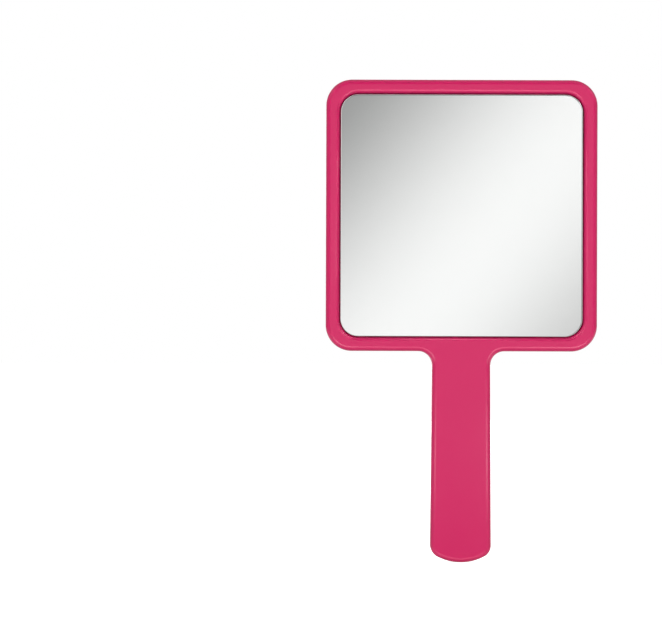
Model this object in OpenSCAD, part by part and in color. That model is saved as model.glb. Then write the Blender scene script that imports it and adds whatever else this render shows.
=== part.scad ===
// Square salon hand mirror with a rounded bead rim and a flat, slightly flared handle.
//
// A front shell carries the rim, the glass recess and the front half of the handle.
// A rear shell closes the back. It locates on a tongue, corner pins and handle pins, and
// holds with snap beads. The glass is bonded into the recess on foam tape.
//
// Shapes are drawn lying flat: x across, y up the mirror, z towards the viewer. stand_up()
// then turns them so that +Z is up the mirror and the glass faces -Y. The origin is the
// middle of the lower end of the handle, half way through the depth.

/* [Head] */
// Width and height of the square head
head_size = 160; // [130:1:200]
// Corner radius of the head's outline
head_corner_r = 15.3; // [9:0.1:24]
// Width of the bead rim, from the outline to the recess
rim_w = 8.1; // [6.6:0.1:12]
// Corner radius of the glass recess
recess_corner_r = 11.1; // [7:0.05:20]

/* [Handle] */
// Length of the handle below the head
handle_len = 124.5; // [100:0.5:160]
// Width of the handle where it would meet the head
handle_w_top = 34.2; // [28:0.1:40]
// Width of the handle at its lower end, before the end is rounded
handle_w_end = 35.9; // [29:0.1:42]
// Radius of the hollow fillets between handle and head
neck_r = 8.3; // [5:0.1:14]
// Radius of the shallow arc across the lower end
end_arc_r = 30; // [24:0.5:40]
// Radius of the two lower corners
end_corner_r = 7.4; // [5:0.1:10]

/* [Body] */
// Depth of the whole mirror, front to back
body_depth = 12; // [12:0.5:16]
// Rounding of the front edge
front_round = 3; // [1.5:0.1:3.4]
// Rounding of the back edge
back_round = 3.4; // [1.5:0.1:3.4]
// Rounding of the rim down into the recess
recess_round = 2.5; // [0.5:0.1:2.6]
// Wall thickness of both shells
wall = 2.2; // [1.8:0.1:2.4]
// Height of the joint between the shells, measured from mid depth
seam_z = -1; // [-1.5:0.1:-0.5]
// Depth of the plain panel sunk into the back of the head
back_panel_sink = 0.5; // [0.2:0.1:0.8]
// Distance from the outline to the sunk back panel
back_panel_margin = 15; // [10:1:30]

/* [Glass] */
// Thickness of the float glass
glass_t = 2; // [1.8:0.1:2.4]
// Open gap round the edge of the glass
glass_gap = 0.7; // [0.4:0.05:1.2]
// How far the glass sits below the crest of the rim
glass_sink = 1.6; // [1:0.1:1.8]
// Width of the ground arris round the front of the glass
glass_arris = 0.4; // [0.2:0.1:0.6]
// Thickness of the silver coat
silver_t = 0.05; // [0.05:0.05:0.1]
// Thickness of the paint that protects the silver
paint_t = 0.1; // [0.05:0.05:0.2]
// Thickness of the foam tape under the glass
tape_t = 0.8; // [0.5:0.1:1]
// Width of the foam tape
tape_w = 10; // [6:1:11]

/* [Hidden] */
$fn = 96;

front_z = body_depth / 2;
back_z = -body_depth / 2;
total_h = handle_len + head_size;
head_y = handle_len + head_size / 2;

// How finely the outer skin follows its curves: degrees round the outline, steps over the edge.
arc_step = 7.5;
round_steps = 6;

// The stack behind the rim's crest: glass, silver, paint, tape, then the ledge it is bonded to.
glass_front_z = front_z - glass_sink;
glass_back_z = glass_front_z - glass_t;
silver_back_z = glass_back_z - silver_t;
paint_back_z = silver_back_z - paint_t;
ledge_top_z = paint_back_z - tape_t;
ledge_t = 1.5;
ledge_w = 14;
ledge_back_z = ledge_top_z - ledge_t;
recess_size = head_size - 2 * rim_w;
recess_wall = 1.8;
glass_size = recess_size - 2 * glass_gap;
glass_corner_r = recess_corner_r - glass_gap;
window_size = recess_size - 2 * ledge_w;
window_corner_r = 4;
tape_margin = 2;
tape_end_gap = 4;

// The lap joint: the rear shell's tongue stands inside a rebate in the front shell.
lap_gap = 0.1;
rebate = wall / 2;
rebate_top_z = seam_z + 2;
snap_len = 10;
snap_h = 0.6;
snap_proud = 0.35;
snap_z = seam_z + 1.1;

// Ribs, sockets and pins inside the shells. A bite is how far a rib runs into its wall.
rib_t = 1.2;
bite = 0.5;
rib_floor_z = rebate_top_z + 0.2;
rib_pitch = 14;
rib_start = 12;
spine_over = 6;
front_skin_z = front_z - wall;
rear_skin_z = back_z + 2;
rear_rib_z = min(seam_z, ledge_back_z) - 0.2;
web_pitch = 25;
lattice_pitch = 28;
socket_r = 1.3;
boss_r = 2.9;
pin_clear = 0.05;
pin_tip_z = front_skin_z - 1.2;
socket_end_z = pin_tip_z + 0.4;
pin_reach = (head_corner_r - wall + recess_corner_r + recess_wall) / 2;
corner_mid = head_size / 2 - (head_corner_r + rim_w + recess_corner_r) / 2;
corner_pin_offset = corner_mid + pin_reach * sqrt(0.5);
handle_pin_ys = [for (k = [0.5, 3.5, 6.5]) rib_start + k * rib_pitch];
pad_r = 13;
pad_ring_r = 15;
pad_ring_t = 2;
back_panel_size = head_size - 2 * back_panel_margin;
back_panel_corner_r = 9;

// The handle's flared side: a line up from side_foot, leaning in by flare degrees.
flare = atan((handle_w_end - handle_w_top) / 2 / handle_len);
side_foot = [handle_w_end / 2, 0];
side_up = [-sin(flare), cos(flare)];
side_out = [cos(flare), sin(flare)];

// Centre of each neck fillet, and how far up the side line it touches.
neck_y = handle_len - neck_r;
neck_c = [side_foot.x + (neck_r - neck_y * side_out.y) / side_out.x, neck_y];
neck_t = (neck_c - side_foot) * side_up;

// Centre of each lower corner: end_corner_r in from the side line, and inside the end arc.
end_c = [0, end_arc_r];
corner_base = side_foot - end_corner_r * side_out - end_c;
corner_lean = corner_base * side_up;
corner_t = -corner_lean - sqrt(
    corner_lean * corner_lean - corner_base * corner_base + pow(end_arc_r - end_corner_r, 2)
);
corner_c = corner_base + end_c + corner_t * side_up;
end_half_angle = atan2(corner_c.x, end_arc_r - corner_c.y);

// Where the snap beads sit: on the straight edges of the head, and up the handle's sides.
snap_top_x = head_size / 4;
snap_bottom_x = head_size / 3;
snap_side_t = [0.28, 0.78] * neck_t;

// Points along an arc, from one angle to another. A skip of 1 leaves out the first point.
function arc(c, r, from, to, skip = 0) =
    let (steps = ceil(abs(to - from) / arc_step - 0.01))
    [for (i = [skip : steps]) let (a = from + (to - from) * i / steps) c + r * [cos(a), sin(a)]];

// The right half of the outline, inset, from the middle of the lower end to the middle of the top.
function half_outline(inset) =
    let (x = head_size / 2 - head_corner_r, r = head_corner_r - inset)
    concat(
        arc(end_c, end_arc_r - inset, -90, end_half_angle - 90),
        arc(corner_c, end_corner_r - inset, end_half_angle - 90, flare, 1),
        arc(neck_c, neck_r + inset, 180 + flare, 90),
        arc([x, handle_len + head_corner_r], r, -90, 0),
        arc([x, total_h - head_corner_r], r, 0, 90),
        [[0, total_h - inset]]
    );

// The whole outline, inset, as one closed loop of points.
function outline_loop(inset) =
    let (half = half_outline(inset), last = len(half) - 1)
    concat(half, [for (i = [last - 1 : -1 : 1]) [-half[i].x, half[i].y]]);

// Lifts a loop of points to height z.
function lift(points, z) = [for (p = points) [p.x, p.y, z]];

module stand_up() {
    rotate([90, 0, 0]) children();
}

// Extrudes a flat outline between two heights.
module slab(z0, z1) {
    translate([0, 0, z0]) linear_extrude(z1 - z0) children();
}

module rounded_square(size, r) {
    half = size / 2 - r;
    square([size, 2 * half], center = true);
    square([2 * half, size], center = true);
    for (x = [-half, half], y = [-half, half])
        translate([x, y]) circle(r);
}

module head_square(size, r) {
    translate([0, head_y]) rounded_square(size, r);
}

module outline(inset = 0) {
    polygon(outline_loop(inset));
}

// Sweeps its child section along a straight run of the outline, from p to q.
module edge_run(p, q) {
    run = q - p;
    translate([p.x, p.y, 0]) rotate([0, 0, atan2(run.y, run.x)])
        rotate([90, 0, 90]) linear_extrude(norm(run)) children();
}

// Sweeps its child section round an arc with its centre inside the body.
module edge_bend(c, r, from, to) {
    translate([c.x, c.y, 0]) rotate([0, 0, from]) rotate_extrude(angle = to - from)
        translate([r, 0]) mirror([1, 0]) children();
}

// Sweeps its child section round an arc with its centre outside the body.
module edge_hollow(c, r, from, to) {
    translate([c.x, c.y, 0]) rotate([0, 0, from]) rotate_extrude(angle = to - from)
        translate([r, 0]) children();
}

// A solid blank with the mirror's outline, flat at z_flat and rounded over at z_round.
// Its skin is rows of loops, up the side and over the round. A fan of faces closes each end.
module blank(z_flat, z_round, r) {
    up = sign(z_round - z_flat);
    rounded = [for (k = [0 : round_steps]) let (a = 90 * k / round_steps)
        lift(outline_loop(r - r * cos(a)), z_round - up * (r - r * sin(a)))];
    rows = concat([lift(outline_loop(0), z_flat)], rounded);
    n = len(rows[0]);
    top = len(rows) - 1;
    middle = len(rows) * n;
    sides = [for (k = [0 : top - 1], i = [0 : n - 1]) let (j = (i + 1) % n)
        [k * n + i, k * n + j, (k + 1) * n + j, (k + 1) * n + i]];
    flat_end = [for (i = [0 : n - 1]) [middle, (i + 1) % n, i]];
    round_end = [for (i = [0 : n - 1]) [middle + 1, top * n + i, top * n + (i + 1) % n]];
    faces = concat(sides, flat_end, round_end);
    polyhedron(
        concat([for (row = rows) each row], [[0, head_y, z_flat], [0, head_y, z_round]]),
        up < 0 ? faces : [for (f = faces) [for (i = [len(f) - 1 : -1 : 0]) f[i]]]
    );
}

// Cuts the recess down to the given height and rounds the rim over into it.
module recess_cut() {
    in = recess_size / 2 - recess_corner_r;
    half = recess_size / 2;
    over = 1;
    slab(ledge_top_z, front_z + over) head_square(recess_size, recess_corner_r);
    translate([0, head_y, 0]) for (turn = [0 : 90 : 270]) rotate([0, 0, turn]) {
        edge_run([half, in], [half, -in]) recess_round_section(over);
        edge_hollow([in, in], recess_corner_r, 0, 90) recess_round_section(over);
    }
}

// What a rounded rim edge leaves open: x runs out from the recess wall, y is the height.
module recess_round_section(over) {
    difference() {
        translate([-bite, front_z - recess_round])
            square([recess_round + bite, recess_round + over]);
        translate([recess_round, front_z - recess_round]) circle(recess_round);
        translate([recess_round, front_z - recess_round]) square([bite, recess_round + 2 * over]);
    }
}

// Places its children at each snap bead: x along the outline, y into the body.
module at_snap_sites() {
    for (side = [0, 1]) mirror([side, 0, 0]) {
        translate([snap_top_x, total_h]) rotate([0, 0, 180]) children();
        translate([snap_bottom_x, handle_len]) children();
        for (y = [-snap_top_x, snap_top_x])
            translate([head_size / 2, head_y + y]) rotate([0, 0, 90]) children();
        for (t = snap_side_t)
            translate(side_foot + t * side_up) rotate([0, 0, 90 + flare]) children();
    }
}

// The snap bead, or with room to spare the groove that it clicks into.
module snap_bar(room = 0) {
    len = snap_len + 4 * room;
    outer = rebate - snap_proud - room;
    translate([-len / 2, outer, snap_z - room])
        cube([len, rebate + bite - outer, snap_h + 2 * room]);
}

// Positions of the four corner pins and the pins down the handle.
function pin_sites() = concat(
    [for (x = [-1, 1], y = [-1, 1]) [x * corner_pin_offset, head_y + y * corner_pin_offset]],
    [for (y = handle_pin_ys) [0, y]]
);

// Cross ribs and a spine inside the handle, between two heights.
module handle_ribs(z0, z1) {
    slab(z0, z1) intersection() {
        outline(wall - bite);
        union() {
            for (y = [rib_start : rib_pitch : handle_len])
                translate([-handle_w_end / 2, y - rib_t / 2]) square([handle_w_end, rib_t]);
            translate([-rib_t / 2, 0]) square([rib_t, handle_len + spine_over]);
        }
    }
}

// Short webs that tie the rim's outer wall to the recess wall.
module rim_webs() {
    slab(rib_floor_z, front_skin_z + bite) difference() {
        intersection() {
            outline(wall - bite);
            translate([0, head_y]) for (turn = [0 : 90 : 270], k = [-2 : 2]) rotate(turn)
                translate([k * web_pitch - rib_t / 2, recess_size / 2]) square([rib_t, rim_w]);
        }
        head_square(recess_size + 2 * (recess_wall - bite), recess_corner_r + recess_wall - bite);
    }
}

module front_frame() {
    color([0.83, 0.22, 0.42]) stand_up() difference() {
        union() {
            difference() {
                blank(seam_z, front_z, front_round);
                // Inside of the shell: round the recess wall, and behind the ledge.
                slab(ledge_back_z, front_skin_z) difference() {
                    outline(wall);
                    head_square(recess_size + 2 * recess_wall, recess_corner_r + recess_wall);
                }
                slab(seam_z - 1, ledge_back_z) outline(wall);
                // The rebate that the rear shell's tongue fits.
                slab(seam_z - 1, rebate_top_z) difference() {
                    outline(rebate);
                    outline(wall + bite);
                }
                slab(ledge_back_z - 1, ledge_top_z + 1) head_square(window_size, window_corner_r);
                at_snap_sites() snap_bar(lap_gap);
            }
            handle_ribs(rib_floor_z, front_skin_z + bite);
            rim_webs();
            for (p = pin_sites()) translate([p.x, p.y, rib_floor_z])
                cylinder(r = boss_r, h = front_skin_z - rib_floor_z + bite);
        }
        recess_cut();
        for (p = pin_sites()) translate([p.x, p.y, seam_z])
            cylinder(r = socket_r, h = socket_end_z - seam_z);
    }
}

module rear_cover() {
    pin_r = socket_r - pin_clear;
    color([0.81, 0.21, 0.41]) stand_up() {
        difference() {
            union() {
                difference() {
                    blank(seam_z, back_z, back_round);
                    slab(rear_skin_z, seam_z + 1) outline(wall);
                }
                // Tongue of the lap joint.
                slab(rear_skin_z, rebate_top_z - lap_gap) difference() {
                    outline(rebate + lap_gap);
                    outline(wall);
                }
                rear_ribs();
            }
            slab(back_z - 1, back_z + back_panel_sink)
                head_square(back_panel_size, back_panel_corner_r);
        }
        at_snap_sites() snap_bar();
        for (p = pin_sites()) translate([p.x, p.y, rear_skin_z - bite]) {
            cylinder(r = pin_r, h = pin_tip_z - rear_skin_z + bite);
            cylinder(r = boss_r, h = rear_rib_z - rear_skin_z + bite);
        }
    }
}

// Lattice on the inside of the rear cover, with a raised ring and cross under the centre pad.
module rear_ribs() {
    handle_ribs(rear_skin_z - bite, rear_rib_z);
    slab(rear_skin_z - bite, rear_rib_z) intersection() {
        head_square(head_size - 2 * (wall - bite), head_corner_r - wall + bite);
        translate([0, head_y]) for (turn = [0, 90], k = [-2 : 2]) rotate(turn)
            translate([k * lattice_pitch, 0]) square([rib_t, head_size], center = true);
    }
    translate([0, head_y, 0]) slab(rear_skin_z - bite, ledge_back_z) {
        difference() {
            circle(pad_ring_r);
            circle(pad_ring_r - pad_ring_t);
        }
        for (turn = [0, 90]) rotate(turn) square([2 * pad_r, rib_t], center = true);
    }
}

// Float glass with a ground arris round its front face.
module mirror_glass() {
    color([0.8, 0.9, 0.86, 0.5]) stand_up() {
        slab(glass_back_z, glass_front_z - glass_arris) head_square(glass_size, glass_corner_r);
        slab(glass_back_z, glass_front_z)
            head_square(glass_size - 2 * glass_arris, glass_corner_r - glass_arris);
        translate([0, head_y, glass_front_z - glass_arris]) arris_ring();
    }
}

// The sloping arris round the front face of the glass.
module arris_ring() {
    half = glass_size / 2;
    in = half - glass_corner_r;
    for (turn = [0 : 90 : 270]) rotate([0, 0, turn]) {
        edge_run([half, -in], [half, in]) arris_section();
        edge_bend([in, in], glass_corner_r, 0, 90) arris_section();
    }
}

module arris_section() {
    a = glass_arris;
    polygon([[0, 0], [a, a], [2 * a, a], [2 * a, 0]]);
}

module silver_coat() {
    color([0.93, 0.94, 0.95]) stand_up()
        slab(silver_back_z, glass_back_z) head_square(glass_size, glass_corner_r);
}

module backing_paint() {
    color([0.32, 0.34, 0.36]) stand_up()
        slab(paint_back_z, silver_back_z) head_square(glass_size, glass_corner_r);
}

// A strip of foam tape lying on the ledge, on the side that the turn gives.
module foam_tape(turn, length) {
    near = glass_size / 2 - tape_margin - tape_w;
    color([0.92, 0.92, 0.9]) stand_up() translate([0, head_y, ledge_top_z])
        rotate([0, 0, turn]) translate([-length / 2, near, 0]) cube([length, tape_w, tape_t]);
}

module foam_tape_top() foam_tape(0, glass_size - 2 * glass_corner_r);
module foam_tape_bottom() foam_tape(180, glass_size - 2 * glass_corner_r);
module foam_tape_left() foam_tape(90, glass_size - 2 * (tape_w + tape_end_gap));
module foam_tape_right() foam_tape(270, glass_size - 2 * (tape_w + tape_end_gap));

module foam_pad_centre() {
    color([0.25, 0.25, 0.27]) stand_up() translate([0, head_y, ledge_back_z])
        cylinder(r = pad_r, h = paint_back_z - ledge_back_z);
}

front_frame();
rear_cover();
mirror_glass();
silver_coat();
backing_paint();
foam_tape_top();
foam_tape_bottom();
foam_tape_left();
foam_tape_right();
foam_pad_centre();
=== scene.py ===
"""Looks for the square salon hand mirror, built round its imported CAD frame.

The two shells and the glass are built again as smooth closed meshes from the CAD's own sizes.
The silver, paint, foam tapes and foam pad are the CAD nodes with materials. All sizes in metres.
The front of the mirror faces -Y, +Z is up, and the lower end of the handle is at the origin.
"""

import math

import bmesh
import bpy
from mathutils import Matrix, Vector
from mathutils.geometry import tessellate_polygon


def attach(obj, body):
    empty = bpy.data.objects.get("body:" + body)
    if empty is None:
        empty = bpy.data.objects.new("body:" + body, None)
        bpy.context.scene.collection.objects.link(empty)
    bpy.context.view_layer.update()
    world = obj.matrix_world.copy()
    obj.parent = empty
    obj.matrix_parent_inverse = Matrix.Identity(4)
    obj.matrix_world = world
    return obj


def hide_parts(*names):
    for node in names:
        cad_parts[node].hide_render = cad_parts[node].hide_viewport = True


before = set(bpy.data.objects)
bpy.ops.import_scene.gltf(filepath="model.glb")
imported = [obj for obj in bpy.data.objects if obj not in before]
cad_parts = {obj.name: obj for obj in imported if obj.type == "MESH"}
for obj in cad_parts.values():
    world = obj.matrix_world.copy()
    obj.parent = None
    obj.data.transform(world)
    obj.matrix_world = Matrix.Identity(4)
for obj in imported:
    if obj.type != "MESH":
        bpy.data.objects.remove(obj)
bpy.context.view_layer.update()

MM = 0.001

# The CAD's sizes, in millimetres.
HEAD = 160.0
HEAD_R = 15.3
RIM = 8.1
HANDLE_LEN = 124.5
HANDLE_W_TOP = 34.2
HANDLE_W_END = 35.9
NECK_R = 8.3
END_ARC_R = 30.0
END_CORNER_R = 7.4
FRONT_Y = -6.0
BACK_Y = 6.0
SEAM_Y = 1.0
FRONT_ROUND = 3.0
BACK_ROUND = 3.4
RECESS_ROUND = 2.5
RECESS = HEAD - 2 * RIM
RECESS_R = 11.1
RECESS_WALL = 1.8
WALL = 2.2
REBATE = 1.1
TONGUE = 1.2
CEILING_Y = -3.8
REBATE_TOP_Y = -1.0
TONGUE_TOP_Y = -0.9
LEDGE_Y = -1.45
LEDGE_BACK_Y = 0.05
LEDGE_W = 14.0
WINDOW_R = 4.0
REAR_SKIN_Y = 4.0
PANEL = 130.0
PANEL_R = 9.0
PANEL_SINK = 0.5
GLASS_GAP = 0.7
GLASS = RECESS - 2 * GLASS_GAP
GLASS_R = RECESS_R - GLASS_GAP
GLASS_FRONT_Y = -4.4
GLASS_BACK_Y = -2.4
ARRIS = 0.25
HEAD_Z = HANDLE_LEN + HEAD / 2

# Small edges that the CAD leaves out, and the narrow strips that keep flat faces shading flat.
SEAM_EASE = 0.22
SMALL_R = 0.25
STRIP = 0.2
SILVER_GAP = 0.02
PANEL_SHADE_W = 1.5

# Steps in each arc of the outlines and of the rounded edges.
END_STEPS = 16
END_CORNER_STEPS = 20
NECK_STEPS = 26
CORNER_STEPS = 28
SQUARE_STEPS = 26
EDGE_STEPS = 16
RECESS_STEPS = 14
SMALL_STEPS = 4

# Faces that meet at more than this many degrees shade as a sharp edge.
SHARP_ANGLE = 32


# Outlines, as (x, z) in millimetres


def arc(centre, radius, start, end, steps, skip=0):
    """Points along an arc, angles in degrees. A skip of 1 leaves out the first point."""
    turns = [math.radians(start + (end - start) * i / steps) for i in range(skip, steps + 1)]
    return [(centre[0] + radius * math.cos(a), centre[1] + radius * math.sin(a)) for a in turns]


def between(p, q, reach):
    """The point on the way from p to q, reach away from p."""
    length = math.dist(p, q)
    return tuple(a + (b - a) * reach / length for a, b in zip(p, q))


def handle_plan():
    """The handle's flare, neck centre, lower corner centre and the half angle of its end arc."""
    flare = math.atan((HANDLE_W_END - HANDLE_W_TOP) / 2 / HANDLE_LEN)
    up = Vector((-math.sin(flare), math.cos(flare)))
    out = Vector((math.cos(flare), math.sin(flare)))
    foot = Vector((HANDLE_W_END / 2, 0.0))
    neck_z = HANDLE_LEN - NECK_R
    neck = (foot.x + (NECK_R - neck_z * out.y) / out.x, neck_z)
    base = foot - END_CORNER_R * out - Vector((0.0, END_ARC_R))
    lean = base.dot(up)
    along = -lean - math.sqrt(lean * lean - base.dot(base) + (END_ARC_R - END_CORNER_R) ** 2)
    corner = base + Vector((0.0, END_ARC_R)) + along * up
    half = math.degrees(math.atan2(corner.x, END_ARC_R - corner.y))
    return math.degrees(flare), neck, tuple(corner), half


FLARE, NECK, CORNER, END_HALF = handle_plan()


def body_outline(inset):
    """The whole mirror's outline, moved inwards by inset, always with the same count of points."""
    x = HEAD / 2 - HEAD_R
    r = HEAD_R - inset
    low, high = HANDLE_LEN + HEAD_R, HANDLE_LEN + HEAD - HEAD_R
    runs = [
        arc((0, END_ARC_R), END_ARC_R - inset, -90, END_HALF - 90, END_STEPS)
        + arc(CORNER, END_CORNER_R - inset, END_HALF - 90, FLARE, END_CORNER_STEPS, skip=1),
        arc(NECK, NECK_R + inset, 180 + FLARE, 90, NECK_STEPS),
        arc((x, low), r, -90, 0, CORNER_STEPS),
        arc((x, high), r, 0, 90, CORNER_STEPS),
    ]
    half = list(runs[0])
    for run in runs[1:]:
        half += [between(half[-1], run[0], STRIP), between(run[0], half[-1], STRIP)] + run
    top = (0, HANDLE_LEN + HEAD - inset)
    half += [between(half[-1], top, STRIP), top]
    return half + [(-px, pz) for px, pz in half[-2:0:-1]]


def square_outline(size, radius, offset, least=0.5):
    """A rounded square on the head's centre, moved outwards by offset. No radius is under least."""
    r = max(radius + offset, least)
    c = size / 2 + offset - r
    points = []
    for turn in range(4):
        cs, sn = [(1, 0), (0, 1), (-1, 0), (0, -1)][turn]
        corner = arc((c, c), r, 0, 90, SQUARE_STEPS)
        corner = [(c + r, c - STRIP)] + corner + [(c - STRIP, c + r)]
        points += [(cs * px - sn * pz, sn * px + cs * pz + HEAD_Z) for px, pz in corner]
    return points


def round_over(y, radius, towards):
    """Rows of (inset, y, wear) over a rounded edge, from the side wall at y to the flat face."""
    rows = []
    for i in range(EDGE_STEPS + 1):
        a = math.radians(90 * i / EDGE_STEPS)
        inset = radius * (1 - math.cos(a))
        rows.append((inset, y + towards * radius * math.sin(a), math.sin(2 * a)))
    return rows


# Meshes


class Skin:
    """Collects loops of points, strips between them and flat fills, then makes one closed mesh.

    Every point carries a wear and shade value: 1 where hands rub most, 0 plain, -1 in the creases,
    darkened with painted shade and grime."""

    def __init__(self):
        self.points = []
        self.wear_and_shade = []
        self.faces = []
        self.kinds = []

    def loop(self, outline, y, wear_and_shade=0.0):
        first = len(self.points)
        self.points += [(px * MM, y * MM, pz * MM) for px, pz in outline]
        self.wear_and_shade += [wear_and_shade] * len(outline)
        return list(range(first, first + len(outline)))

    def loops(self, outline, rows):
        """A loop for each row of (inset or offset, y) or (inset or offset, y, wear)."""
        return [self.loop(outline(row[0]), *row[1:]) for row in rows]

    def strips(self, loops, kind=0):
        for a, b in zip(loops, loops[1:]):
            for i, j in zip(range(len(a)), [*range(1, len(a)), 0]):
                self.add((a[i], a[j], b[j], b[i]), kind)

    def fill(self, *loops, kind=0):
        """Fills the flat area inside the first loop and outside the others."""
        flat = [[Vector((self.points[i][0], self.points[i][2], 0)) for i in loop] for loop in loops]
        index = [i for loop in loops for i in loop]
        for triangle in tessellate_polygon(flat):
            self.add(tuple(index[i] for i in triangle), kind)

    def add(self, face, kind):
        self.faces.append(face)
        self.kinds.append(kind)

    def build(self, name, materials):
        mesh = bpy.data.meshes.new(name)
        mesh.from_pydata(self.points, [], self.faces)
        for material in materials:
            mesh.materials.append(material)
        mesh.polygons.foreach_set("material_index", self.kinds)
        mesh.attributes.new("wear_and_shade", "FLOAT", "POINT").data.foreach_set("value", self.wear_and_shade)
        mesh.validate()
        obj = bpy.data.objects.new(name, mesh)
        bpy.context.scene.collection.objects.link(obj)
        recalculate(mesh)
        mesh.shade_smooth()
        mesh.set_sharp_from_angle(angle=math.radians(SHARP_ANGLE))
        return obj


def recalculate(mesh):
    """Turns every face outwards."""
    bm = bmesh.new()
    bm.from_mesh(mesh)
    bmesh.ops.recalc_face_normals(bm, faces=bm.faces)
    bm.to_mesh(mesh)
    bm.free()


def seam_rows(towards):
    """The eased lip at the joint between the shells, then the start of the side wall."""
    return [
        # The seam's groove gets painted shade and grime.
        (SEAM_EASE, SEAM_Y, -1.0),
        (SEAM_EASE * 0.3, SEAM_Y + towards * SEAM_EASE * 0.3, -0.6),
        (0, SEAM_Y + towards * SEAM_EASE, -0.2),
        (0, SEAM_Y + towards * (SEAM_EASE + STRIP)),
    ]


def front_shell(materials):
    """Rim, recess, ledge and the front half of the handle, hollow behind."""
    skin = Skin()
    side_end = FRONT_Y + FRONT_ROUND
    outside = seam_rows(-1) + [(0, side_end + STRIP)] + round_over(side_end, FRONT_ROUND, -1)
    outer = skin.loops(body_outline, outside + [(FRONT_ROUND + STRIP, FRONT_Y)])

    centre_y = FRONT_Y + RECESS_ROUND
    recess = [(RECESS_ROUND + STRIP, FRONT_Y)]
    for i in range(RECESS_STEPS + 1):
        a = math.radians(90 * i / RECESS_STEPS)
        inwards = RECESS_ROUND * (1 - math.sin(a))
        recess.append((inwards, centre_y - RECESS_ROUND * math.cos(a), 0.6 * math.sin(2 * a)))
    # Down the recess wall to the ledge, in the groove round the glass, the pink gets painted shade
    # and grime.
    recess += [(0, centre_y + STRIP, -0.1), (0, LEDGE_Y - SMALL_R - STRIP, -1.0)]
    for a in (0, math.pi / 4, math.pi / 2):
        recess.append((SMALL_R * (math.cos(a) - 1), LEDGE_Y - SMALL_R * (1 - math.sin(a)), -1.0))
    recess += [
        (-SMALL_R - STRIP, LEDGE_Y, -1.0),
        (SMALL_R - LEDGE_W, LEDGE_Y),
        (-LEDGE_W, LEDGE_Y + SMALL_R),
        (-LEDGE_W, LEDGE_BACK_Y - SMALL_R),
        (SMALL_R - LEDGE_W, LEDGE_BACK_Y),
        (RECESS_WALL - SMALL_R, LEDGE_BACK_Y),
        (RECESS_WALL, LEDGE_BACK_Y - SMALL_R),
        (RECESS_WALL, CEILING_Y),
    ]
    inner = skin.loops(lambda offset: square_outline(RECESS, RECESS_R, offset, WINDOW_R), recess)

    hidden = [(WALL, CEILING_Y), (WALL, REBATE_TOP_Y), (REBATE, REBATE_TOP_Y), (REBATE, SEAM_Y)]
    inside = skin.loops(body_outline, hidden)

    skin.strips(outer)
    skin.fill(outer[-1], inner[0])
    skin.strips(inner)
    skin.fill(inside[0], inner[-1])
    skin.strips(inside + [outer[0]])
    return skin.build("front_shell", materials)


def rear_shell(materials):
    """The back of the head and handle, with its sunk panel and the tongue of the lap joint."""
    skin = Skin()
    side_end = BACK_Y - BACK_ROUND
    outside = seam_rows(1) + [(0, side_end - STRIP)] + round_over(side_end, BACK_ROUND, 1)
    outer = skin.loops(body_outline, outside + [(BACK_ROUND + STRIP, BACK_Y)])

    floor_y = BACK_Y - PANEL_SINK
    step = [(SMALL_R + STRIP, BACK_Y)]
    for i in range(SMALL_STEPS + 1):
        a = math.radians(90 * i / SMALL_STEPS)
        level = BACK_Y - SMALL_R * (1 - math.cos(a))
        step.append((SMALL_R * (1 - math.sin(a)), level, 0.4 * math.sin(2 * a)))
    # Round the foot of the panel's step the pink gets painted shade and grime.
    for i in range(1, SMALL_STEPS + 1):
        a = math.radians(90 * i / SMALL_STEPS)
        step.append((SMALL_R * (math.cos(a) - 1), floor_y + SMALL_R * (1 - math.sin(a)), -0.9))
    step.append((-SMALL_R - STRIP, floor_y, -0.7))
    step.append((-SMALL_R - PANEL_SHADE_W, floor_y))
    panel = skin.loops(lambda offset: square_outline(PANEL, PANEL_R, offset), step)

    hidden = [(WALL, REAR_SKIN_Y), (WALL, TONGUE_TOP_Y), (TONGUE, TONGUE_TOP_Y), (TONGUE, SEAM_Y)]
    inside = skin.loops(body_outline, hidden)

    skin.strips(outer)
    skin.fill(outer[-1], panel[0])
    skin.strips(panel[:-1])
    skin.strips(panel[-2:], kind=1)
    skin.fill(panel[-1], kind=1)
    skin.fill(inside[0])
    skin.strips(inside + [outer[0]])
    return skin.build("rear_shell", materials)


def glass_pane(materials):
    """Float glass with a ground arris round its front, a hair clear of the silver behind it."""
    skin = Skin()
    rows = [(-ARRIS, GLASS_FRONT_Y), (0, GLASS_FRONT_Y + ARRIS), (0, GLASS_BACK_Y - SILVER_GAP)]
    loops = skin.loops(lambda offset: square_outline(GLASS, GLASS_R, offset), rows)
    skin.fill(loops[0])
    skin.strips(loops[:2])
    skin.strips(loops[1:], kind=1)
    skin.fill(loops[-1])
    return skin.build("glass_pane", materials)


# Materials


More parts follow.
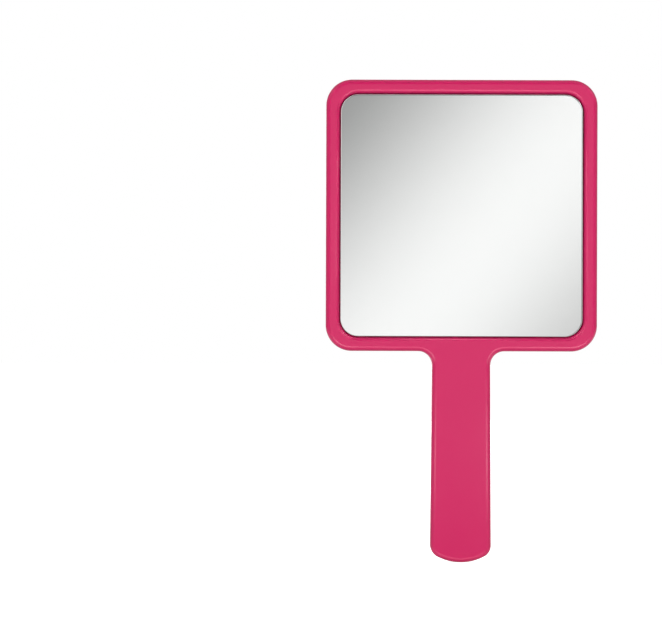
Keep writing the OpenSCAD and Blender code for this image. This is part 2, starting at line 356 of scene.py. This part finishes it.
class Nodes:
    """The node tree of a material or the world, with short calls to add and join nodes."""

    def __init__(self, owner, output="ShaderNodeOutputMaterial", place="Object"):
        owner.use_nodes = True
        self.owner = owner
        self.tree = owner.node_tree
        self.tree.nodes.clear()
        self.output = self.tree.nodes.new(output)
        self.place = self.tree.nodes.new("ShaderNodeTexCoord").outputs[place]

    def node(self, kind, **inputs):
        node = self.tree.nodes.new(kind)
        for key, value in inputs.items():
            self.set(node.inputs[key.replace("_", " ")], value)
        return node

    def set(self, socket, value):
        if isinstance(value, bpy.types.NodeSocket):
            self.tree.links.new(value, socket)
        else:
            socket.default_value = value

    def surface(self, shader):
        self.tree.links.new(shader.outputs[0], self.output.inputs["Surface"])
        return self.owner

    def maths(self, operation, a, b=0.0):
        node = self.tree.nodes.new("ShaderNodeMath")
        node.operation = operation
        self.set(node.inputs[0], a)
        self.set(node.inputs[1], b)
        return node.outputs[0]

    def times(self, a, b):
        return self.maths("MULTIPLY", a, b)

    def plus(self, a, b):
        return self.maths("ADD", a, b)

    def streaks(self, sizes, turn=0.0):
        """Coordinates in units of sizes (metres), turned about Y by turn degrees."""
        node = self.node("ShaderNodeMapping", Vector=self.place, Scale=sizes)
        node.vector_type = "TEXTURE"
        node.inputs["Rotation"].default_value = (0, math.radians(turn), 0)
        return node.outputs["Vector"]

    def noise(self, scale, detail=2.0, roughness=0.5, vector=None):
        node = self.node("ShaderNodeTexNoise", Scale=scale, Detail=detail, Roughness=roughness)
        self.set(node.inputs["Vector"], vector or self.place)
        return node.outputs["Fac"]

    def spread(self, value, low, high, to_low=0.0, to_high=1.0, kind="LINEAR"):
        node = self.tree.nodes.new("ShaderNodeMapRange")
        node.interpolation_type = kind
        keys = ("Value", "From Min", "From Max", "To Min", "To Max")
        for key, v in zip(keys, (value, low, high, to_low, to_high)):
            self.set(node.inputs[key], v)
        return node.outputs["Result"]

    def mix(self, share, a, b):
        node = self.tree.nodes.new("ShaderNodeMix")
        node.data_type = "RGBA"
        self.set(node.inputs["Factor"], share)
        self.set(node.inputs[6], a)
        self.set(node.inputs[7], b)
        return node.outputs[2]

    def pick(self, share, a, b):
        """The number a where share is 0 and b where it is 1."""
        return self.spread(share, 0.0, 1.0, a, b)

    def bump(self, height, distance, normal=None):
        node = self.node("ShaderNodeBump", Height=height, Distance=distance, Strength=1.0)
        if normal:
            self.set(node.inputs["Normal"], normal)
        return node.outputs["Normal"]

    def principled(self, **inputs):
        return self.surface(self.node("ShaderNodeBsdfPrincipled", **inputs))


def new_material(name):
    return Nodes(bpy.data.materials.new(name))


PINK = (0.65, 0.003, 0.11, 1)
PINK_PALE = (0.66, 0.005, 0.115, 1)
PINK_SCUFFED = (0.78, 0.16, 0.3, 1)
PINK_GRIME_AND_SHADE = (0.2, 0.008, 0.035, 1)


def hairlines(n, turn, patch_scale):
    """Fine handling scratches running one way, in patches."""
    field = n.noise(1.0, 0.0, 0.5, n.streaks((0.035, 0.01, 0.0011), turn))
    line = n.spread(n.maths("ABSOLUTE", n.plus(field, -0.5)), 0.0, 0.02, 1.0, 0.0)
    return n.times(line, n.spread(n.noise(patch_scale, 1.0), 0.56, 0.68))


def moulded_pink(name, grain_depth):
    """Glossy moulded plastic, handled but clean. Creases, seam and glass groove are darkened with
    painted shade and a little grime. A grain_depth above 0 adds a fine dull grain.
    """
    n = new_material(name)
    wear_and_shade = n.node("ShaderNodeAttribute")
    wear_and_shade.attribute_name = "wear_and_shade"
    wear_and_shade = wear_and_shade.outputs["Fac"]
    cloud = n.noise(75.0, 4.0, 0.6)
    fleck = n.noise(950.0, 3.0, 0.7)
    scuff = n.times(n.spread(wear_and_shade, 0.45, 1.0), n.spread(fleck, 0.57, 0.66))
    # Painted shade: the pink darkens in the creases, the seam and the groove round the glass, in
    # uneven grime patches.
    grime_and_shade = n.times(n.spread(wear_and_shade, -0.15, -1.0), n.spread(cloud, 0.35, 0.65, 0.35, 1.0))
    colour = n.mix(n.noise(9.0, 3.0, 0.55), PINK, PINK_PALE)
    colour = n.mix(n.times(scuff, 0.08), colour, PINK_SCUFFED)
    colour = n.mix(n.times(grime_and_shade, 0.8), colour, PINK_GRIME_AND_SHADE)
    worn = n.plus(n.times(scuff, 0.05), n.times(grime_and_shade, 0.2))
    rough = n.plus(n.spread(cloud, 0.3, 0.75, 0.29, 0.33), worn)
    normal = n.bump(n.noise(620.0, 1.0), 0.0000015)
    if grain_depth:
        grain = n.noise(3400.0, 3.0, 0.7)
        normal = n.bump(grain, grain_depth, normal)
        rough = n.spread(grain, 0.3, 0.7, 0.42, 0.56)
    else:
        hair = n.plus(hairlines(n, -38.0, 37.0), hairlines(n, 84.0, 26.0))
        hair = n.plus(hairlines(n, 22.0, 31.0), hair)
        normal = n.bump(hair, -0.0000005, normal)
        rough = n.plus(rough, n.times(hair, 0.03))
    return n.principled(Base_Color=colour, Roughness=rough, IOR=1.47, Normal=normal)


def clear_glass():
    n = new_material("glass")
    smudge = n.noise(26.0, 4.0, 0.6)
    rough = n.spread(smudge, 0.5, 0.85, 0.0, 0.02)
    wave = n.bump(n.noise(14.0, 1.0), 0.0000015)
    tint = n.mix(n.noise(5.0), (0.985, 0.992, 0.987, 1), (0.99, 0.994, 0.991, 1))
    return n.principled(
        Base_Color=tint, Roughness=rough, IOR=1.52, Normal=wave, Transmission_Weight=1.0
    )


def ground_glass():
    """The wheel-ground edge of the glass: grey green and matt, with fine grinding lines."""
    n = new_material("glass_ground")
    grind = n.noise(1.0, 3.0, 0.65, n.streaks((0.0011, 0.0003, 0.0011)))
    colour = n.mix(grind, (0.38, 0.42, 0.4, 1), (0.55, 0.6, 0.57, 1))
    rough = n.spread(grind, 0.3, 0.7, 0.3, 0.5)
    return n.principled(
        Base_Color=colour, Roughness=rough, IOR=1.52, Normal=n.bump(grind, 0.00002)
    )


def silver():
    n = new_material("silver")
    mottle = n.noise(180.0, 3.0)
    colour = n.mix(mottle, (0.945, 0.945, 0.944, 1), (0.96, 0.96, 0.958, 1))
    rough = n.spread(mottle, 0.3, 0.7, 0.0, 0.006)
    return n.principled(Base_Color=colour, Metallic=1.0, Roughness=rough)


def backing_paint():
    """Dull grey paint: mottled colour, uneven roughness and a fine grain."""
    n = new_material("backing_paint")
    grain = n.noise(900.0, 4.0, 0.65)
    patch = n.noise(50.0, 2.0)
    mottle = n.times(n.plus(grain, patch), 0.5)
    colour = n.mix(mottle, (0.06, 0.068, 0.075, 1), (0.13, 0.14, 0.15, 1))
    rough = n.spread(grain, 0.3, 0.7, 0.6, 0.8)
    return n.principled(Base_Color=colour, Roughness=rough, Normal=n.bump(grain, 0.00001))


def foam(name, dark, pale):
    """Closed-cell foam: round cells of about half a millimetre, matt."""
    n = new_material(name)
    cells = n.node("ShaderNodeTexVoronoi", Scale=2100.0)
    n.set(cells.inputs["Vector"], n.place)
    wall = cells.outputs["Distance"]
    shade = n.spread(wall, 0.1, 0.8, 0.0, 1.0)
    rough = n.spread(n.noise(300.0, 2.0), 0.3, 0.7, 0.82, 0.95)
    return n.principled(
        Base_Color=n.mix(shade, pale, dark), Roughness=rough, Normal=n.bump(wall, 0.0001)
    )


pink = moulded_pink("pink_gloss", 0.0)
pink_grain = moulded_pink("pink_grain", 0.00003)

shell_front = front_shell([pink])
shell_rear = rear_shell([pink, pink_grain])
pane = glass_pane([clear_glass(), ground_glass()])
for obj, cad_node, slot_name in (
    (shell_front, "front_frame", "pink_shell"),
    (shell_rear, "rear_cover", "pink_back"),
    (pane, "mirror_glass", "glass"),
):
    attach(obj, "root")
    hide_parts(cad_node)

foam_white = foam("foam_tape", (0.5, 0.5, 0.47, 1), (0.82, 0.82, 0.79, 1))
foam_dark = foam("foam_pad", (0.012, 0.012, 0.014, 1), (0.05, 0.05, 0.055, 1))
dressed = {
    "silver_coat": (silver(), "silver"),
    "backing_paint": (backing_paint(), "backing_paint"),
    "foam_pad_centre": (foam_dark, "foam_pad"),
}
for side in ("top", "bottom", "left", "right"):
    dressed["foam_tape_" + side] = (foam_white, "foam_tape")
for node_name, (material, slot_name) in dressed.items():
    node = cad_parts[node_name]
    node.data.materials.clear()
    node.data.materials.append(material)


# Stage

WHITE = (1, 1, 1, 1)
FLOOR_REACH = 6.0
CAM = Vector((-0.07683, -1.467, 0.14475))
CAM_ROLL = 0.18
LENS = 135
SENSOR = 36

# The floor: its grey far off in the mirror and as a source of bounce, the share of its white glow
# that the mirror shows, and where the glow and the shading off start and end.
FLOOR_FAR = (0.36, 0.37, 0.38, 1)
FLOOR_BOUNCE = (0.45, 0.45, 0.45, 1)
FLOOR_GLOW_MIRRORED = 0.75
FLOOR_GRAZE = (0.62, 0.86)
FLOOR_SHADE_OFF = (0.22, 0.72)

# Brightness of the world on matt surfaces, then in gloss: all round, below, above, at the sides.
AMBIENT = 0.25
GLOSS_LEVEL = 0.05
GLOSS_FLOOR = 0.8
GLOSS_TOP = 0.6
GLOSS_SIDE = 0.7

# A bright band low in front, seen in gloss only. The directions' heights at which it starts, is
# full, starts to fade and ends, and the sideways share where it starts and is full.
BAND_Z = (-0.12, -0.38, -0.5, -0.92)
BAND_X = (0.55, 0.3)
BAND_LEVEL = 2.8

# Soft glows high to the left and right in front, for the upper corners. The sideways and upward
# shares over which they start, and the upward share over which they end.
CORNER_START = (0.2, 0.45)
CORNER_END = (0.85, 0.65)
CORNER_LEVEL = 1.5

# The card that the mirror shows to the camera: its place and its left, right and top edges.
CARD_Y = -2.5
CARD_X = (-0.3, 0.45)
CARD_TOP = 0.62

# The card's distance from the silver, over the camera's.
REACH = (GLASS_BACK_Y * MM - CARD_Y) / (GLASS_BACK_Y * MM - CAM.y)

# The card's grey runs down a diagonal, from the glass's upper left corner. Its angle below level,
# its length, and its stops: share of the way, linear value.
CARD_TURN = math.radians(40.6)
CARD_SPAN = 0.2017 * (1 + REACH)
CARD_STOPS = [(0.0, 0.28), (0.2, 0.54), (0.4, 0.85), (0.6, 0.99), (0.8, 0.87), (1.0, 0.56)]

# Makes up for what the glass and the silver take away.
CARD_GAIN = 1.12


def on_card(x, z):
    """Where the camera sees the card through a point of the glass."""
    return x + (x - CAM.x) * REACH, z + (z - CAM.z) * REACH


def plane(name, corners, material):
    mesh = bpy.data.meshes.new(name)
    mesh.from_pydata(corners, [], [(0, 1, 2, 3)])
    mesh.materials.append(material)
    obj = bpy.data.objects.new(name, mesh)
    bpy.context.scene.collection.objects.link(obj)
    return obj


def floor_material():
    """Pale matt floor, white at a grazing view. In the glass it shades off with distance."""
    n = new_material("floor")
    xyz = n.node("ShaderNodeSeparateXYZ", Vector=n.place)
    path = n.node("ShaderNodeLightPath")
    away = n.plus(n.times(xyz.outputs["X"], -0.6), n.times(xyz.outputs["Y"], -0.8))
    in_glass = path.outputs["Is Transmission Ray"]
    mirrored = n.times(n.spread(away, *FLOOR_SHADE_OFF), in_glass)
    paper = n.spread(n.noise(260.0, 4.0), 0.3, 0.7, 0.795, 0.805)
    colour = n.mix(mirrored, paper, FLOOR_FAR)
    colour = n.mix(path.outputs["Is Diffuse Ray"], colour, FLOOR_BOUNCE)
    diffuse = n.node("ShaderNodeBsdfDiffuse", Color=colour)
    facing = n.node("ShaderNodeLayerWeight", Blend=0.5).outputs["Facing"]
    lift = n.plus(path.outputs["Is Camera Ray"], n.times(in_glass, FLOOR_GLOW_MIRRORED))
    strength = n.times(n.spread(facing, *FLOOR_GRAZE), lift)
    glow = n.node("ShaderNodeEmission", Color=WHITE, Strength=strength)
    both = n.node("ShaderNodeAddShader")
    n.tree.links.new(diffuse.outputs[0], both.inputs[0])
    n.tree.links.new(glow.outputs[0], both.inputs[1])
    return n.surface(both)


def card_material():
    n = new_material("card")
    xyz = n.node("ShaderNodeSeparateXYZ", Vector=n.place)
    start = on_card(-GLASS / 2 * MM, (HEAD_Z + GLASS / 2) * MM)
    across = n.times(n.plus(xyz.outputs["X"], -start[0]), math.cos(CARD_TURN) / CARD_SPAN)
    down = n.times(n.plus(xyz.outputs["Z"], -start[1]), -math.sin(CARD_TURN) / CARD_SPAN)
    ramp = n.node("ShaderNodeValToRGB", Fac=n.plus(across, down))
    ramp.color_ramp.interpolation = "B_SPLINE"
    stops = ramp.color_ramp.elements
    while len(stops) < len(CARD_STOPS):
        stops.new(0.5)
    for stop, (where, value) in zip(stops, CARD_STOPS):
        stop.position = where
        stop.color = (value, value, value, 1)
    glow = n.node("ShaderNodeEmission", Color=ramp.outputs["Color"], Strength=CARD_GAIN)
    return n.surface(glow)


def studio():
    """White to the camera, soft grey to the object, with a bright low band in its reflections."""
    world = bpy.data.worlds.new("studio")
    bpy.context.scene.world = world
    n = Nodes(world, "ShaderNodeOutputWorld", "Generated")
    xyz = n.node("ShaderNodeSeparateXYZ", Vector=n.place)
    path = n.node("ShaderNodeLightPath")
    x, y, z = (xyz.outputs[k] for k in "XYZ")
    sideways = n.maths("ABSOLUTE", x)
    below = n.spread(z, -0.1, -0.25, kind="SMOOTHSTEP")
    above = n.spread(z, 0.6, 0.95, kind="SMOOTHSTEP")
    base = n.plus(n.plus(GLOSS_LEVEL, n.times(below, GLOSS_FLOOR)), n.times(above, GLOSS_TOP))
    rise = n.spread(z, BAND_Z[0], BAND_Z[1], kind="SMOOTHSTEP")
    fall = n.spread(z, BAND_Z[3], BAND_Z[2], kind="SMOOTHSTEP")
    narrow = n.spread(sideways, *BAND_X, kind="SMOOTHSTEP")
    front = n.maths("LESS_THAN", y, 0.0)
    band = n.times(n.times(rise, fall), n.times(narrow, front))
    side = n.spread(sideways, 0.3, 0.7, kind="SMOOTHSTEP")
    wide = n.spread(sideways, *CORNER_START, kind="SMOOTHSTEP")
    over = n.spread(z, *CORNER_START, kind="SMOOTHSTEP")
    under = n.spread(z, *CORNER_END, kind="SMOOTHSTEP")
    upper = n.times(n.times(wide, n.times(over, under)), front)
    bright = n.plus(n.times(band, BAND_LEVEL), n.times(upper, CORNER_LEVEL))
    glossy = n.plus(n.plus(base, n.times(side, GLOSS_SIDE)), bright)
    seen = n.pick(path.outputs["Is Glossy Ray"], AMBIENT, glossy)
    seen = n.pick(path.outputs["Is Transmission Ray"], seen, n.spread(z, 0.0, 0.6, 0.95, 0.5))
    seen = n.pick(path.outputs["Is Camera Ray"], seen, 1.0)
    n.surface(n.node("ShaderNodeBackground", Color=WHITE, Strength=seen))


def soft_light(name, where, target, size, level, diffuse=True, glossy=True, only=None):
    """A rectangular softbox. level is its brightness next to a white of 1."""
    data = bpy.data.lights.new(name, "AREA")
    data.shape = "RECTANGLE"
    data.size, data.size_y = size
    data.energy = level * math.pi * size[0] * size[1]
    obj = bpy.data.objects.new(name, data)
    bpy.context.scene.collection.objects.link(obj)
    obj.location = where
    obj.rotation_euler = (Vector(target) - Vector(where)).to_track_quat("-Z", "Y").to_euler()
    obj.visible_camera = False
    obj.visible_transmission = False
    obj.visible_diffuse = diffuse
    obj.visible_glossy = glossy
    if only:
        lit = bpy.data.collections.new(name + "_lit")
        for receiver in only:
            lit.objects.link(receiver)
        obj.light_linking.receiver_collection = lit


square = [(-FLOOR_REACH, -FLOOR_REACH), (FLOOR_REACH, -FLOOR_REACH)]
square += [(FLOOR_REACH, FLOOR_REACH), (-FLOOR_REACH, FLOOR_REACH)]
floor = plane("floor", [(x, y, 0) for x, y in square], floor_material())
floor.visible_glossy = False
left, right = CARD_X
outline = [(left, 0), (left, CARD_TOP), (right, CARD_TOP), (right, 0)]
card = plane("card", [(x, CARD_Y, z) for x, z in outline], card_material())
card.data.materials[0].cycles.emission_sampling = "NONE"
card.visible_camera = False
card.visible_glossy = False
card.visible_diffuse = False
card.visible_shadow = False

studio()
soft_light("key", (0, -1.7, 0.3), (0, 0, 0.12), (1.6, 0.8), 5.6, glossy=False)
soft_light("floor_light", (0, -0.1, 1.8), (0, 0, 0), (2.4, 2.4), 1.35, only=[floor])
soft_light("top", (0, -0.5, 1.8), (0, 0, 0), (1.6, 1.6), 0.4, diffuse=False)
soft_light("rear", (-0.2, 1.9, 0.4), (0, 0, 0.15), (1, 1), 2.5)
for side, sign in (("left", -1), ("right", 1)):
    soft_light("rear_" + side, (sign * 1.4, 1.5, 0.5), (0, 0, 0.15), (0.9, 0.9), 6.0, glossy=False)
shells = [shell_front, shell_rear]
soft_light("rear_top", (0, 1, 1.6), (0, 0, 0.28), (0.9, 0.9), 4.0, glossy=False, only=shells)

# Small softboxes that only the front shell reflects, for the pale lines along its rounded edges.
for name, where, target, size, level in (
    ("low_left", (-0.108, -0.178, 0.055), (-0.017, 0, 0.063), (0.11, 0.04), 5.2),
    ("low_right", (0.108, -0.178, 0.055), (0.017, 0, 0.063), (0.11, 0.04), 6.2),
    ("inner_top", (0, -0.15, 0.19), (0, 0, 0.277), (0.12, 0.04), 3.0),
    ("inner_low", (0, -0.056, 0.236), (0, 0, 0.13), (0.06, 0.03), 7.0),
    ("high_right", (0.42, -0.9, 0.68), (0.07, 0, 0.28), (0.3, 0.3), 2.0),
):
    soft_light(name, where, target, size, level, diffuse=False, only=[shell_front])

scene = bpy.context.scene
scene.view_settings.view_transform = "Standard"
camera_data = bpy.data.cameras.new("camera")
camera_data.lens = LENS
camera_data.sensor_width = SENSOR
camera = bpy.data.objects.new("camera", camera_data)
scene.collection.objects.link(camera)
camera.location = CAM
camera.rotation_euler = (math.radians(90), math.radians(-CAM_ROLL), 0)
scene.camera = camera

bpy.context.view_layer.update()
